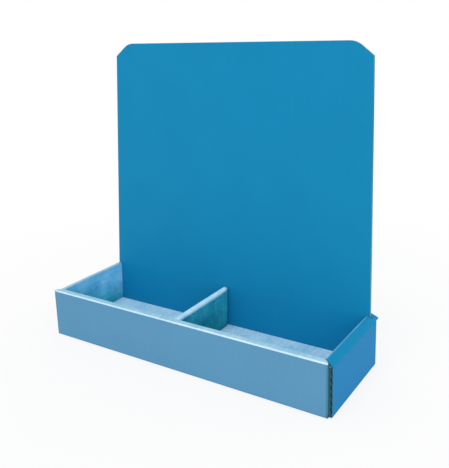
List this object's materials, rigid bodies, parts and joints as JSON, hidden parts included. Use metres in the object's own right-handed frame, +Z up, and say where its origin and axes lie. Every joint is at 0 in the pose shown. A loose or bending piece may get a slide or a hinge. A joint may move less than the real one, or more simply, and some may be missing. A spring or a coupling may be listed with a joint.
{
  "type": "counter display",
  "caption": "Folded cardboard counter display: a low open tray with rolled walls and a lift-out divider, and a tall lift-out header card leaning at its back.",
  "frame": {"origin": "middle of the overall box, on the surface that the tray stands on", "axes": "+X to the right along the tray, +Y from the front to the header card at the back, +Z up"},
  "size_m": [0.3, 0.109, 0.2831],
  "materials": {
    "header_print": "flat mid-blue print on board",
    "front_print": "paler blue print on board",
    "side_print": "blue print on board",
    "pale_liner": "pale blue uncoated liner",
    "inside_liner": "sky-blue mottled liner"
  },
  "bodies": {
    "tray": {"floor_panel": "pale_liner", "floor_pad": "pale_liner", "left_outer_wall": "side_print", "right_outer_wall": "side_print"},
    "front_wall": {"front_outer_wall": "front_print", "front_roll_strip": "pale_liner", "front_inner_wall": "inside_liner", "front_left_flap": "inside_liner", "front_right_flap": "inside_liner"},
    "back_wall": {"back_wall": "header_print", "back_left_flap": "inside_liner", "back_right_flap": "inside_liner"},
    "left_roll": {"left_roll_strip": "side_print", "left_roll_neck": "side_print", "left_roll_end": "side_print"},
    "right_roll": {"right_roll_strip": "side_print", "right_roll_neck": "side_print", "right_roll_end": "side_print"},
    "left_inner": {"left_inner_wall": "inside_liner"},
    "right_inner": {"right_inner_wall": "inside_liner"},
    "header": {"header_card": "header_print"},
    "divider": {"divider_left_leaf": "inside_liner", "divider_right_leaf": "inside_liner", "divider_top_fold": "pale_liner"}
  },
  "joints": [
    {"name": "header_lift", "type": "slide", "parent": "tray", "child": "header", "axis": [0, 0.0506, 0.9987], "range_m": [0, 0.06]},
    {"name": "divider_lift", "type": "slide", "parent": "tray", "child": "divider", "axis": [0, 0, 1], "range_m": [0, 0.05]},
    {"name": "front_wall_fold", "type": "hinge", "parent": "tray", "child": "front_wall", "pos_m": [0, -0.05452, 0], "axis": [1, 0, 0], "range_deg": [0, 90]},
    {"name": "back_wall_fold", "type": "hinge", "parent": "tray", "child": "back_wall", "pos_m": [0, 0.04318, 0], "axis": [-1, 0, 0], "range_deg": [0, 87]},
    {"name": "left_roll_fold", "type": "hinge", "parent": "tray", "child": "left_roll", "pos_m": [-0.15, 0, 0.0436], "axis": [0, -1, 0], "range_deg": [0, 68]},
    {"name": "left_inner_fold", "type": "hinge", "parent": "left_roll", "child": "left_inner", "pos_m": [-0.1413, 0, 0.0471], "axis": [0, -1, 0], "range_deg": [0, 111]},
    {"name": "right_roll_fold", "type": "hinge", "parent": "tray", "child": "right_roll", "pos_m": [0.15, 0, 0.0436], "axis": [0, 1, 0], "range_deg": [0, 68]},
    {"name": "right_inner_fold", "type": "hinge", "parent": "right_roll", "child": "right_inner", "pos_m": [0.1413, 0, 0.0471], "axis": [0, 1, 0], "range_deg": [0, 111]}
  ]
}
